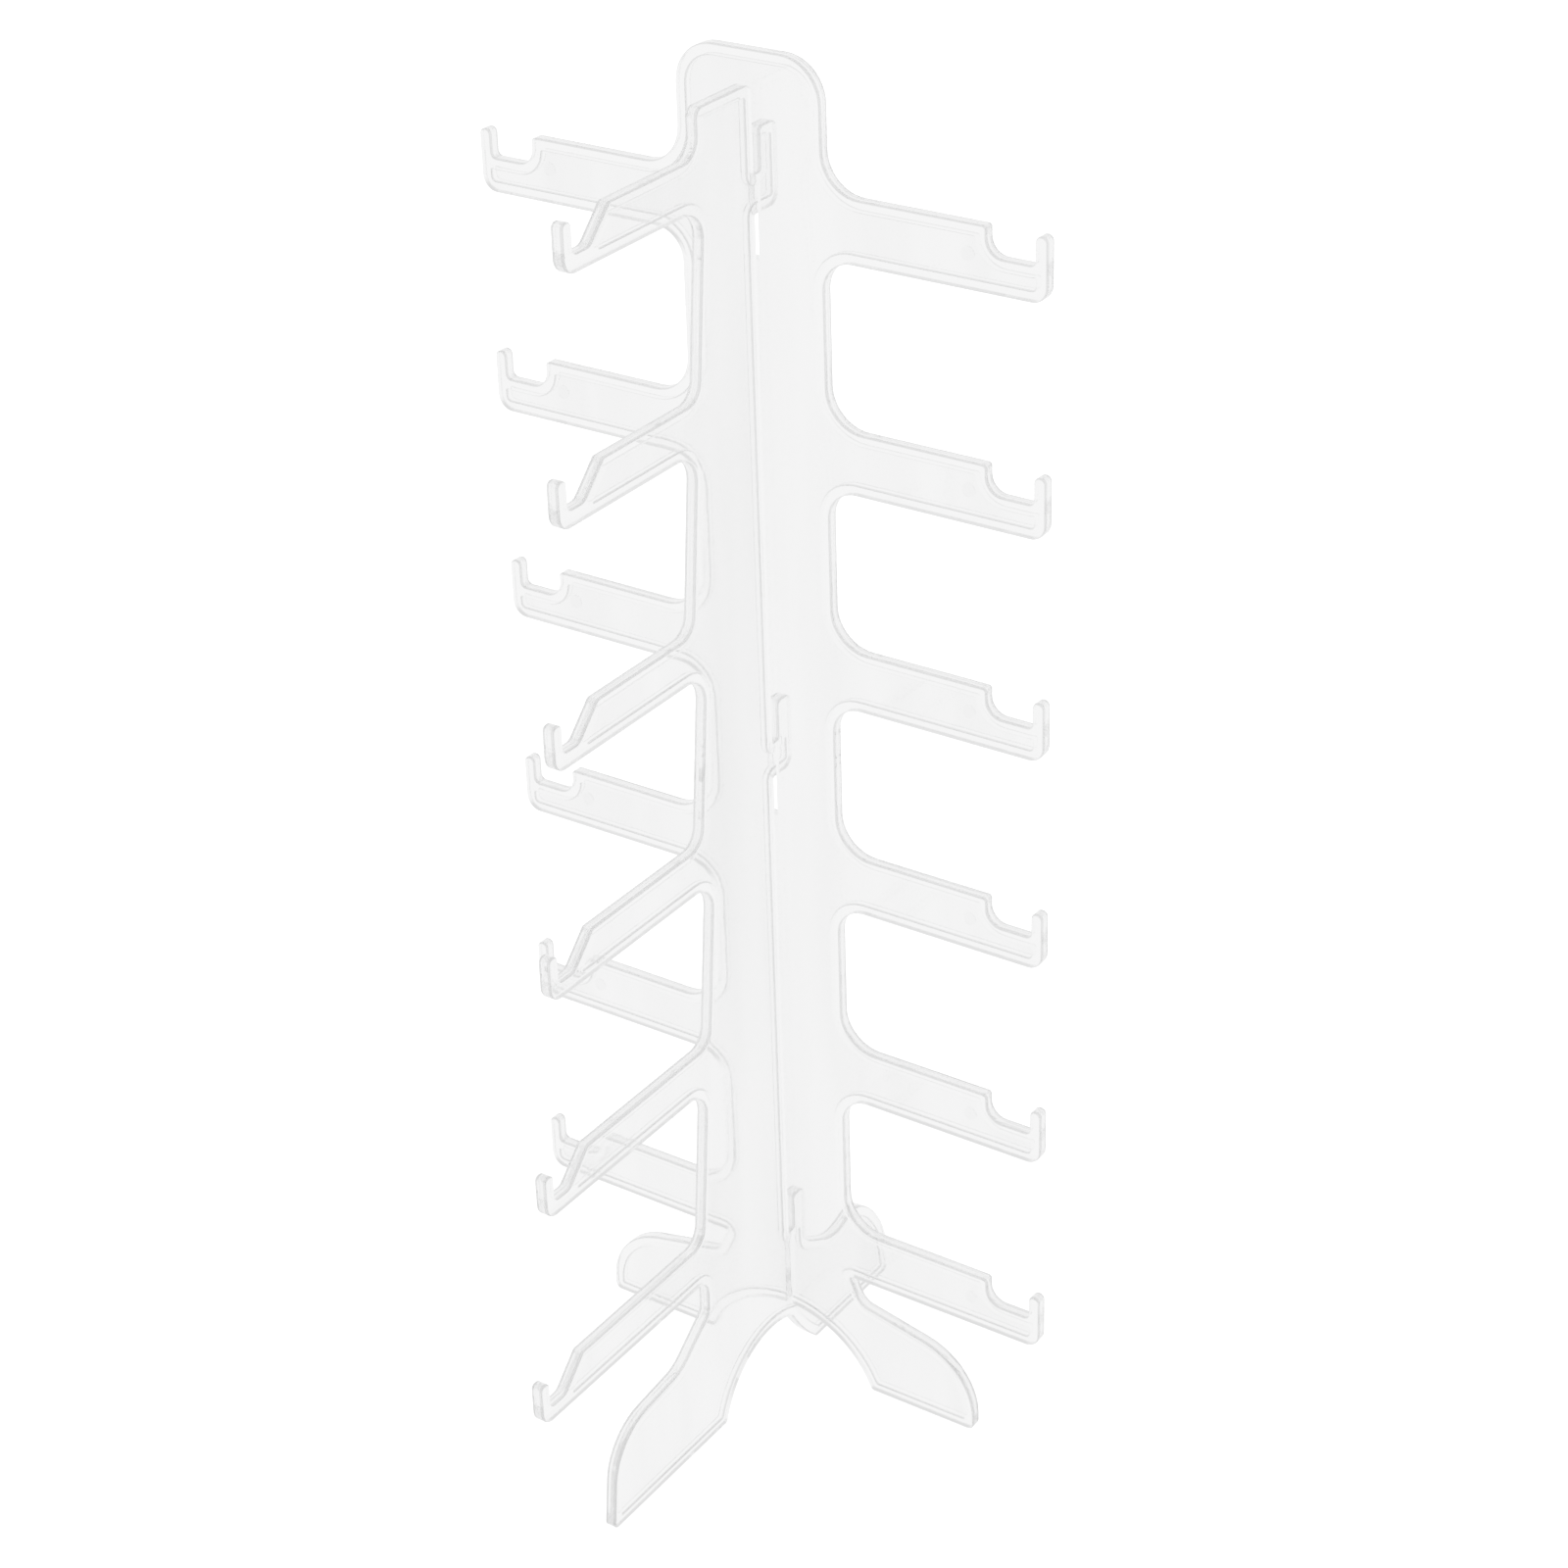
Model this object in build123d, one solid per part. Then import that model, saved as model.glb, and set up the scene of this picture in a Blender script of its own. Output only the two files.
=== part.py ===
from build123d import *
import os

# Clear knock-down display rack for eyeglasses: two flat mouldings that cross at a right angle.
# The cross panel stands in the XZ plane, with six arms to each side and two splayed legs.
# The front fin stands in the YZ plane, with six arms whose reach grows towards the foot, and a front leg.
# Three hooks on the fin's rear edge pass through slots in the panel, and the lowest carries the rear leg.
# The panel drops onto the necks of the hooks to lock, and lifts off them again by HOOK_DROP.
# Millimetres. Origin on the table, centred under the rack. +Z up, +X to the right, -Y to the front.
# Every outline is a list of corners (across, up, corner radius).

# Both mouldings
THICKNESS = 3.5
RIM_WIDTH = 2.7
WEB_THICKNESS = 2.5
EDGE_ROUND = 0.5
WEB_CORNER = 0.7
TIERS = 6
PITCH = 60.0
PIN_MARK_RADIUS = 1.8
PIN_MARK_HEIGHT = 0.1
POCKET_ROUND = 0.45
TIP_ROUND = 1.5
NEAR = 0.01

# Cross panel: widths are measured from its centre line
PANEL_HEIGHT = 385.6
PANEL_CORNER = 11.0
SPINE_HALF = 20.7
SIDE_REACH = 82.4
SIDE_TOP = 353.3
SIDE_DEPTH = 16.4
SIDE_CRADLE = 7.45
SIDE_STEP = 66.0
SIDE_TIP = 3.2
SIDE_ROOT_ABOVE = 10.5
SIDE_ROOT_BELOW = 8.0
SIDE_STEP_HEAD_ROUND = 1.0
SIDE_STEP_FOOT_ROUND = 4.6
SIDE_UNDER_ROUND = 4.2
SIDE_PIN_MARK = 61.0
CROTCH_WIDEN = 0.7
CROTCH_ROUND = 0.8
ARCH_RADIUS = 30.0
ARCH_TOP = 19.5
ARCH_HEEL_ROUND = 1.5
PANEL_LEG = [(25.0, 28.6, 5.0), (61.7, 20.7, 20.5), (61.7, 0, 2.0), (0, 0, 0)]

# Front fin: reaches are measured forwards from the panel's middle plane
FIN_HEIGHT = 377.6
FIN_HEAD = 24.5
FIN_TOP = 365.7
FIN_DEPTH = 12.6
FIN_CRADLE = 8.1
FIN_REACH = 76.8
FIN_REACH_STEP = 7.45
FIN_TIP = 3.4
FIN_SLOPE_FOOT = 9.6
FIN_SLOPE_HEAD = 17.8
FIN_ROOT_ABOVE = 5.5
FIN_ROOT_BELOW = 7.0
FIN_WAISTS = [22.9, 29.5, 29.8, 30.4, 37.2]
FIN_TAPER = 0.1
FIN_HEAD_ROUND = 2.5
FIN_SLOPE_ROUND = 3.0
FIN_UNDER_ROUND = 4.0
FIN_ANKLE = 41.0
FIN_ANKLE_ROUND = 4.0
FRONT_LEG = [(-FIN_ANKLE, 42.2, 3.0), (-54.8, 31.5, 12.0), (-84.6, 28.3, 17.0), (-87.8, 0, 1.5)]
FIN_ARCH_SPAN = (-34.8, 10.5)
FIN_ARCH_CROWN = (-13.0, 17.6)
FIN_ARCH_HEEL = (-1.5, 15.2)
FIN_ARCH_SAG = (3.6, 7.4)
REAR_LEG = [
    (49.9, 0, 2.5),
    (47.3, 16.5, 28.0),
    (40.2, 27.6, 26.0),
    (33.0, 32.3, 6.0),
    (21.5, 28.8, 12.0),
    (7.6, 36.5, 4.0),
]

# Hooks on the fin and slots in the panel
FACE_PLAY = 0.1
SIDE_PLAY = 0.25
LIP_PLAY = 0.2
HOOK_DROP = 11.5
NECK_HEIGHT = 10.2
LIP_RISE = 11.0
HOOK_HEEL_ROUND = 3.6
LIP_REAR_ROUND = 2.5
LIP_ROOT_ROUND = 0.8
NECK_ROUND = 0.4
SLOT_ROUND = 0.5
UPPER_HOOKS = [(190.5, 8.1), (345.0, 9.5)]
REAR_NECK_TOP = 44.6
REAR_LIP = 7.6

FIN_BACK = -THICKNESS / 2 - FACE_PLAY
LIP_FRONT = THICKNESS / 2 + LIP_PLAY
LAST_REACH = FIN_REACH + FIN_REACH_STEP * (TIERS - 1)
CENTRE_SHIFT = (LAST_REACH - REAR_LEG[0][0]) / 2


def face_of(corners):
    """The closed face inside a list of corners."""
    points = [(across, up) for across, up, radius in corners]
    radii = [radius for across, up, radius in corners]
    return make_face(FilletPolyline(*points, radius=radii, close=True))


def side_arm(top):
    """Corners of one side arm: out along its top, round the cradle and tip, and back underneath."""
    cradle = top - SIDE_CRADLE
    under = top - SIDE_DEPTH
    tip = SIDE_REACH - SIDE_TIP
    return [
        (SPINE_HALF, top, SIDE_ROOT_ABOVE),
        (SIDE_STEP, top, SIDE_STEP_HEAD_ROUND),
        (SIDE_STEP, cradle, SIDE_STEP_FOOT_ROUND),
        (tip, cradle, TIP_ROUND),
        (tip, top, TIP_ROUND),
        (SIDE_REACH, top, TIP_ROUND),
        (SIDE_REACH, under, SIDE_UNDER_ROUND),
        (SPINE_HALF, under, SIDE_ROOT_BELOW),
    ]


def panel_outline():
    """Half of the panel with its arms and leg, mirrored, less the arch between the legs."""
    corners = [(0, PANEL_HEIGHT, 0), (SPINE_HALF, PANEL_HEIGHT, PANEL_CORNER)]
    for tier in range(TIERS):
        corners += side_arm(SIDE_TOP - PITCH * tier)
    across, up, _ = corners.pop()
    crotch = (across + CROTCH_WIDEN, up, CROTCH_ROUND)
    half = face_of(corners + [crotch] + PANEL_LEG)
    arch = Pos(0, ARCH_TOP - ARCH_RADIUS) * Circle(ARCH_RADIUS)
    whole = half + mirror(half, about=Plane.YZ) - arch
    return fillet(floor_corners(whole, -ARCH_RADIUS, ARCH_RADIUS), ARCH_HEEL_ROUND)


def slots():
    """The three slots on the panel's centre line; the lowest is open to the arch."""
    width = THICKNESS + 2 * SIDE_PLAY
    spans = [(neck - HOOK_DROP, neck + NECK_HEIGHT + FACE_PLAY) for neck, _ in UPPER_HOOKS]
    spans.append((0, REAR_NECK_TOP + FACE_PLAY))
    return [Pos(0, (low + high) / 2) * RectangleRounded(width, high - low, SLOT_ROUND) for low, high in spans]


def fin_arm(tier):
    """Corners of one fin arm: out along its top, down the sloping step, round the tip and back."""
    top = FIN_TOP - PITCH * tier
    cradle = top - FIN_CRADLE
    under = top - FIN_DEPTH
    reach = FIN_REACH + FIN_REACH_STEP * tier
    root = FIN_HEAD
    if tier > 0:
        root = FIN_WAISTS[tier - 1] + FIN_TAPER * (PITCH - FIN_DEPTH)
    heel = FIN_WAISTS[tier] if tier < TIERS - 1 else FIN_ANKLE
    return [
        (-root, top, FIN_ROOT_ABOVE),
        (-(reach - FIN_SLOPE_HEAD), top, TIP_ROUND),
        (-(reach - FIN_SLOPE_FOOT), cradle, FIN_SLOPE_ROUND),
        (-(reach - FIN_TIP), cradle, TIP_ROUND),
        (-(reach - FIN_TIP), top, TIP_ROUND),
        (-reach, top, TIP_ROUND),
        (-reach, under, FIN_UNDER_ROUND),
        (-heel, under, FIN_ROOT_BELOW if tier < TIERS - 1 else FIN_ANKLE_ROUND),
    ]


def hook(neck, reach):
    """Corners of one hook, from the underside of its neck, round its lip, to the top of its neck."""
    neck_top = neck + NECK_HEIGHT
    return [(FIN_BACK, neck, NECK_ROUND), (reach, neck, HOOK_HEEL_ROUND)] + lip(neck_top, reach)


def lip(neck_top, reach):
    """Corners of a hook's upstanding lip, from its rear edge forwards."""
    return [
        (reach, neck_top + LIP_RISE, LIP_REAR_ROUND),
        (LIP_FRONT, neck_top + LIP_RISE, TIP_ROUND),
        (LIP_FRONT, neck_top, LIP_ROOT_ROUND),
        (FIN_BACK, neck_top, NECK_ROUND),
    ]


def fin_outline():
    """The fin with its arms, front leg, rear leg and hooks, less the arch under it."""
    corners = [(FIN_BACK, FIN_HEIGHT, FIN_HEAD_ROUND), (-FIN_HEAD, FIN_HEIGHT, FIN_HEAD_ROUND)]
    for tier in range(TIERS):
        corners += fin_arm(tier)
    corners += FRONT_LEG + REAR_LEG + lip(REAR_NECK_TOP, REAR_LIP)
    for neck, reach in UPPER_HOOKS:
        corners += hook(neck, reach)
    front, rear = (FIN_ARCH_SPAN[0], 0), (FIN_ARCH_SPAN[1], 0)
    arch = make_face(
        ThreePointArc(front, FIN_ARCH_CROWN, FIN_ARCH_HEEL)
        + ThreePointArc(FIN_ARCH_HEEL, FIN_ARCH_SAG, rear)
        + Line(rear, front)
    )
    whole = face_of(corners) - arch
    return fillet(floor_corners(whole, *FIN_ARCH_SPAN), ARCH_HEEL_ROUND)


def floor_corners(outline, low, high):
    """The outline's corners on the floor between two places across it."""
    return [v for v in outline.vertices() if abs(v.Y) < NEAR and low - NEAR < v.X < high + NEAR]


def edges_at(body, across, place):
    """The edges of a body that lie in the plane at one place across it."""
    return body.edges().filter_by_position(across, place - NEAR, place + NEAR)


def web_pocket(outline):
    """The area inside the rim, with its slivers opened away and its corners eased."""
    inside = offset(outline, -RIM_WIDTH)
    return offset(offset(inside, -WEB_CORNER), WEB_CORNER)


def moulding(outline, plane, pin_marks):
    """A flat moulding with rounded outer edges, a thinner web inside its rim, and ejector pin marks."""
    body = extrude(plane * outline, THICKNESS / 2, both=True)
    across = Axis((0, 0, 0), plane.z_dir)
    outer = edges_at(body, across, -THICKNESS / 2) + edges_at(body, across, THICKNESS / 2)
    body = fillet(outer, EDGE_ROUND)
    pocket = web_pocket(outline)
    for side in (-1, 1):
        web_face = side * WEB_THICKNESS / 2
        cutter = extrude(plane.offset(web_face) * pocket, side * (THICKNESS - WEB_THICKNESS))
        body -= fillet(edges_at(cutter, across, web_face), POCKET_ROUND)
    for place in pin_marks:
        mark = plane.offset(WEB_THICKNESS / 2) * Pos(*place) * Circle(PIN_MARK_RADIUS)
        body += extrude(mark, PIN_MARK_HEIGHT)
    return body


def cross_panel():
    """The panel: outline, rim and web, ejector marks beside the cradles, and the slots."""
    marks = [
        (side * SIDE_PIN_MARK, SIDE_TOP - PITCH * tier - SIDE_CRADLE)
        for tier in range(TIERS)
        for side in (-1, 1)
    ]
    panel = moulding(panel_outline(), Plane.XZ, marks)
    for slot in slots():
        panel -= extrude(Plane.XZ * slot, THICKNESS, both=True)
    return panel


def front_fin():
    """The fin: outline, rim and web."""
    return moulding(fin_outline(), Plane.YZ, [])


os.makedirs("parts", exist_ok=True)
for name, shape in (("cross_panel", cross_panel()), ("front_fin", front_fin())):
    export_step(Pos(0, CENTRE_SHIFT, 0) * shape, f"parts/{name}.step")
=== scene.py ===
import math

import bpy
from mathutils import Matrix, Vector


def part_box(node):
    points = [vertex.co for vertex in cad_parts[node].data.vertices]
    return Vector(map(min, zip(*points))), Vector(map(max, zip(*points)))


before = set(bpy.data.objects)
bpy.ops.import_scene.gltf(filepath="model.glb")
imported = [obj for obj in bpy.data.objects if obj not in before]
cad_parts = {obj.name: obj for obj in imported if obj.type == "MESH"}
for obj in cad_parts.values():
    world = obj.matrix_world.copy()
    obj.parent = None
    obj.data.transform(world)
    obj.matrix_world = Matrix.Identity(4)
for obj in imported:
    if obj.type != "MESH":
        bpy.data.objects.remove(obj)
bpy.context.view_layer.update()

# Lengths are in metres, powers in watts, and greys run from 0 to 1.

# The camera stands to the right of the rack, in front of it and above its top, and looks down at it.
CAMERA_AT = (0.45203, -0.61243, 0.62206)
CAMERA_YAW = math.radians(34.791)
CAMERA_DOWN = math.radians(27.611)
CAMERA_ROLL = math.radians(-1.7935)
CAMERA_LENS = 78.66
CAMERA_SENSOR = 36.0
CAMERA_SHIFT_Y = -0.05
CAMERA_FAR = 50.0

# Distances from a plate's middle plane to where the painted shade begins on its side walls, to the web's face and
# to the rim's face
PAINTED_SHADE_START = 0.0009
WEB_HALF = 0.00125
RIM_HALF = 0.00175
# The rim's own grey fades in between these two distances past the web
RIM_FADE = (0.00003, 0.00025)

# Clear plastic
PLASTIC_IOR = 1.49
WEB_GREYS = [(0.35, 0.962), (0.65, 0.987)]
RIM_GREY = 0.995
# Grey of the painted shade on the rounded edges and the pocket walls: dark edge lines painted into the colour
PAINTED_SHADE_GREY = 0.7
# How strong the painted shade is from the start distance above (0) to RIM_HALF (1): painted shade that stands in
# for the fine dark lines that light draws along moulded edges. The web's face and the rim's face are clear, and the
# tops of the round ejector marks nearly so.
PAINTED_SHADE_STOPS = [
    (0.0, 0), (0.1, 1), (0.39, 1),
    (0.4, 0), (0.425, 0),
    (0.445, 1), (0.5, 1),
    (0.518, 0.15), (0.54, 0.15),
    (0.556, 1), (0.9, 1), (0.976, 0),
]
DEPTH_GREY = 0.08
HAZE = [(0.35, 0.008), (0.75, 0.028)]

# Studio: what the rays that meet the plastic see, and how white the floor and the backdrop are to the camera.
# ROOM runs from the horizon (0) to straight overhead (1).
FLOOR_GLOW = 0.922
ROOM = [(0.0, 0.91), (0.25, 0.87), (0.6, 0.73)]
FLOOR_GREY = 0.2
FLOOR_WHITE = 0.98
FLOOR_ROUGHNESS = 0.9
BACKDROP_WHITE = 1.05
FLOOR_HALF = 12.0
FLOOR_GAP = 0.0004
LAMPS_AIM = (0, 0, 0.2)
KEY_AT, KEY_SIZE, KEY_POWER = (1.6, -1.2, 2.2), 2.4, 2.5
FILL_AT, FILL_SIZE, FILL_POWER = (-1.8, -0.8, 1.6), 2.0, 1.7

# Light bounces many times between the two faces of a plate before it leaves through an edge
BOUNCES = 128

# Sockets of a Mix node that mixes colours, which share their names with its other kinds
MIX_FACTOR, MIX_FROM, MIX_TO, MIX_COLOUR = 0, 6, 7, 2
# Spacing of nodes in the shader editor
NODE_STEP = 220


def grey(value):
    """A grey as a colour."""
    return (value, value, value, 1)


def new_node(tree, kind, place):
    """A shader node at a place counted in columns and rows."""
    made = tree.nodes.new(kind)
    made.location = (place[0] * NODE_STEP, place[1] * -NODE_STEP)
    return made


def node(tree, kind, place, **inputs):
    """A shader node, with its plain inputs set."""
    made = new_node(tree, kind, place)
    for name, value in inputs.items():
        made.inputs[name.replace("_", " ")].default_value = value
    return made


def maths(tree, operation, place, first, second=0.0):
    """The result of a Math node whose first number is linked and whose second is set."""
    made = new_node(tree, "ShaderNodeMath", place)
    made.operation = operation
    made.inputs[1].default_value = second
    tree.links.new(first, made.inputs[0])
    return made.outputs["Value"]


def share(tree, place, value, low, high):
    """How far a linked value is from low (0) to high (1)."""
    made = node(tree, "ShaderNodeMapRange", place, From_Min=low, From_Max=high)
    tree.links.new(value, made.inputs["Value"])
    return made.outputs["Result"]


def ramp(tree, place, value, stops):
    """The greys that a linked value picks out: stops is a list of (position, grey)."""
    made = new_node(tree, "ShaderNodeValToRGB", place)
    elements = made.color_ramp.elements
    while len(elements) < len(stops):
        elements.new(0.5)
    for element, (position, shade) in zip(elements, stops):
        element.position = position
        element.color = grey(shade)
    tree.links.new(value, made.inputs["Fac"])
    return made.outputs["Color"]


def mix(tree, place, factor, colour, shade):
    """A linked colour that turns to a plain grey by a linked factor."""
    made = new_node(tree, "ShaderNodeMix", place)
    made.data_type = "RGBA"
    made.inputs[MIX_TO].default_value = grey(shade)
    tree.links.new(factor, made.inputs[MIX_FACTOR])
    tree.links.new(colour, made.inputs[MIX_FROM])
    return made.outputs[MIX_COLOUR]


def noise(tree, place, where, **inputs):
    """The value of a noise at linked coordinates."""
    made = node(tree, "ShaderNodeTexNoise", place, **inputs)
    tree.links.new(where, made.inputs["Vector"])
    return made.outputs["Fac"]


def bump(tree, place, height, strength, distance):
    """A Bump node on a linked height."""
    made = node(tree, "ShaderNodeBump", place, Strength=strength, Distance=distance)
    tree.links.new(height, made.inputs["Height"])
    return made


def by_ray(tree, place, to_plastic, to_camera, out):
    """Shows one shader to the camera, and the other to the rays that have met the plastic."""
    path = new_node(tree, "ShaderNodeLightPath", (place[0] - 1, place[1] + 2))
    choose = new_node(tree, "ShaderNodeMixShader", place)
    tree.links.new(path.outputs["Is Camera Ray"], choose.inputs[0])
    tree.links.new(to_plastic, choose.inputs[1])
    tree.links.new(to_camera, choose.inputs[2])
    tree.links.new(choose.outputs["Shader"], out.inputs["Surface"])


def camera():
    """The camera, with no depth of field."""
    data = bpy.data.cameras.new("camera")
    data.lens = CAMERA_LENS
    data.sensor_width = CAMERA_SENSOR
    data.shift_y = CAMERA_SHIFT_Y
    data.clip_end = CAMERA_FAR
    obj = bpy.data.objects.new("camera", data)
    bpy.context.scene.collection.objects.link(obj)
    turn = (
        Matrix.Rotation(CAMERA_YAW, 4, "Z")
        @ Matrix.Rotation(math.pi / 2 - CAMERA_DOWN, 4, "X")
        @ Matrix.Rotation(CAMERA_ROLL, 4, "Z")
    )
    obj.matrix_world = Matrix.Translation(CAMERA_AT) @ turn
    bpy.context.scene.camera = obj


def clear_plastic(name, thin_axis, middle):
    """Clear injection-moulded plastic. The thin axis and the middle plane tell the sunk web from the raised rim."""
    material = bpy.data.materials.new(name)
    material.use_nodes = True
    tree = material.node_tree
    tree.nodes.clear()
    link = tree.links.new
    out = new_node(tree, "ShaderNodeOutputMaterial", (10, 0))
    skin = node(
        tree, "ShaderNodeBsdfPrincipled", (9, 0), Metallic=0.0, IOR=PLASTIC_IOR, Transmission_Weight=1.0
    )
    link(skin.outputs["BSDF"], out.inputs["Surface"])
    depth = node(tree, "ShaderNodeVolumeAbsorption", (9, 3), Color=grey(0.0), Density=DEPTH_GREY)
    link(depth.outputs["Volume"], out.inputs["Volume"])
    place = new_node(tree, "ShaderNodeTexCoord", (0, 0)).outputs["Object"]

    # The raised rim is polished and the web between it is a shade greyer
    split = new_node(tree, "ShaderNodeSeparateXYZ", (1, 3))
    link(place, split.inputs["Vector"])
    off = maths(tree, "SUBTRACT", (2, 3), split.outputs[thin_axis], middle)
    away = maths(tree, "ABSOLUTE", (3, 3), off)
    rim = share(tree, (4, 2), away, WEB_HALF + RIM_FADE[0], WEB_HALF + RIM_FADE[1])

    # Melt flow: long, very shallow streaks along the spine
    flow_map = node(tree, "ShaderNodeMapping", (1, 0), Scale=(1.0, 1.0, 0.12))
    link(place, flow_map.inputs["Vector"])
    flow = noise(
        tree, (2, 0), flow_map.outputs["Vector"], Scale=70.0, Detail=2.0, Roughness=0.5, Distortion=0.4
    )
    web_grey = ramp(tree, (4, 1), flow, WEB_GREYS)
    tone = mix(tree, (6, 1), rim, web_grey, RIM_GREY)

    # The rounded edges and the walls of the web's pocket get painted shade on their outside: dark edge lines
    # painted into the colour. It dims what shows through them once, not again from within the plastic.
    painted_shade = ramp(tree, (5, 3), share(tree, (4, 3), away, PAINTED_SHADE_START, RIM_HALF), PAINTED_SHADE_STOPS)
    within = new_node(tree, "ShaderNodeNewGeometry", (5, 4)).outputs["Backfacing"]
    outside = maths(tree, "LESS_THAN", (6, 4), within, 0.5)
    painted_shade_outside = maths(tree, "MULTIPLY", (7, 3), painted_shade)
    link(outside, painted_shade_outside.node.inputs[1])
    # The colour turns to the painted shade grey on the outside faces of the edges and pocket walls
    link(mix(tree, (8, 1), painted_shade_outside, tone, PAINTED_SHADE_GREY), skin.inputs["Base Color"])

    # Haze from handling
    haze = noise(tree, (2, 5), place, Scale=65.0, Detail=5.0, Roughness=0.6)
    link(ramp(tree, (3, 5), haze, HAZE), skin.inputs["Roughness"])

    # Shallow waves from the flow, and fine scratches on top of them
    waves = bump(tree, (4, 6), flow, strength=0.12, distance=0.0004)
    scratch_map = node(
        tree, "ShaderNodeMapping", (1, 6), Scale=(220.0, 220.0, 30.0), Rotation=(0.3, 0.2, 0.0)
    )
    link(place, scratch_map.inputs["Vector"])
    scratch = noise(tree, (2, 6), scratch_map.outputs["Vector"], Scale=6.0, Detail=3.0, Roughness=0.7)
    scratches = bump(tree, (5, 6), scratch, strength=0.03, distance=0.0001)
    link(waves.outputs["Normal"], scratches.inputs["Normal"])
    link(scratches.outputs["Normal"], skin.inputs["Normal"])
    return material


def dress(name, thin_axis):
    """Gives a CAD node its clear plastic."""
    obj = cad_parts[name]
    low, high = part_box(name)
    middle = (low[thin_axis] + high[thin_axis]) / 2
    obj.data.materials.clear()
    obj.data.materials.append(clear_plastic(name + "_clear_plastic", thin_axis, middle))


def floor():
    """A plain white studio table. Seen directly it is as white as the backdrop of a catalogue picture."""
    mesh = bpy.data.meshes.new("floor")
    half = FLOOR_HALF
    corners = [(-half, -half, 0), (half, -half, 0), (half, half, 0), (-half, half, 0)]
    mesh.from_pydata(corners, [], [(0, 1, 2, 3)])
    obj = bpy.data.objects.new("floor", mesh)
    obj.location = (0, 0, -FLOOR_GAP)
    bpy.context.scene.collection.objects.link(obj)
    material = bpy.data.materials.new("floor_white")
    material.use_nodes = True
    tree = material.node_tree
    tree.nodes.clear()
    out = new_node(tree, "ShaderNodeOutputMaterial", (2, 0))
    dim = node(tree, "ShaderNodeEmission", (0, 0), Strength=FLOOR_GLOW)
    white = node(
        tree, "ShaderNodeBsdfPrincipled", (0, 1),
        Roughness=FLOOR_ROUGHNESS, Base_Color=grey(FLOOR_GREY), Specular_IOR_Level=0.0,
        Emission_Color=grey(1), Emission_Strength=FLOOR_WHITE,
    )
    by_ray(tree, (1, 0), dim.outputs["Emission"], white.outputs["BSDF"], out)
    mesh.materials.append(material)


def soft_box(name, at, size, power):
    """A soft square light that faces the rack."""
    data = bpy.data.lights.new(name, "AREA")
    data.shape = "RECTANGLE"
    data.size = data.size_y = size
    data.energy = power
    obj = bpy.data.objects.new(name, data)
    bpy.context.scene.collection.objects.link(obj)
    way = Vector(LAMPS_AIM) - Vector(at)
    obj.matrix_world = Matrix.Translation(at) @ way.to_track_quat("-Z", "Y").to_matrix().to_4x4()


def studio():
    """A pale room, as light as the floor at the horizon and greyer overhead."""
    world = bpy.data.worlds.new("studio")
    bpy.context.scene.world = world
    world.use_nodes = True
    tree = world.node_tree
    tree.nodes.clear()
    out = new_node(tree, "ShaderNodeOutputWorld", (5, 0))
    room = node(tree, "ShaderNodeBackground", (3, 0), Strength=1.0)
    backdrop = node(tree, "ShaderNodeBackground", (3, 1), Strength=BACKDROP_WHITE, Color=grey(1))
    place = new_node(tree, "ShaderNodeTexCoord", (0, 0))
    split = new_node(tree, "ShaderNodeSeparateXYZ", (1, 0))
    tree.links.new(place.outputs["Generated"], split.inputs["Vector"])
    tree.links.new(ramp(tree, (2, 0), split.outputs["Z"], ROOM), room.inputs["Color"])
    by_ray(tree, (4, 0), room.outputs["Background"], backdrop.outputs["Background"], out)


def look():
    """Picture settings that clear plastic needs: long light paths, and denoising by colour alone."""
    scene = bpy.context.scene
    scene.cycles.use_denoising = True
    scene.cycles.denoising_input_passes = "RGB"
    scene.cycles.max_bounces = BOUNCES
    scene.cycles.transmission_bounces = BOUNCES
    scene.cycles.glossy_bounces = BOUNCES
    scene.view_settings.view_transform = "Standard"
    scene.view_settings.look = "None"


camera()
studio()
floor()
soft_box("key", KEY_AT, KEY_SIZE, KEY_POWER)
soft_box("fill", FILL_AT, FILL_SIZE, FILL_POWER)
dress("cross_panel", 1)
dress("front_fin", 0)
look()
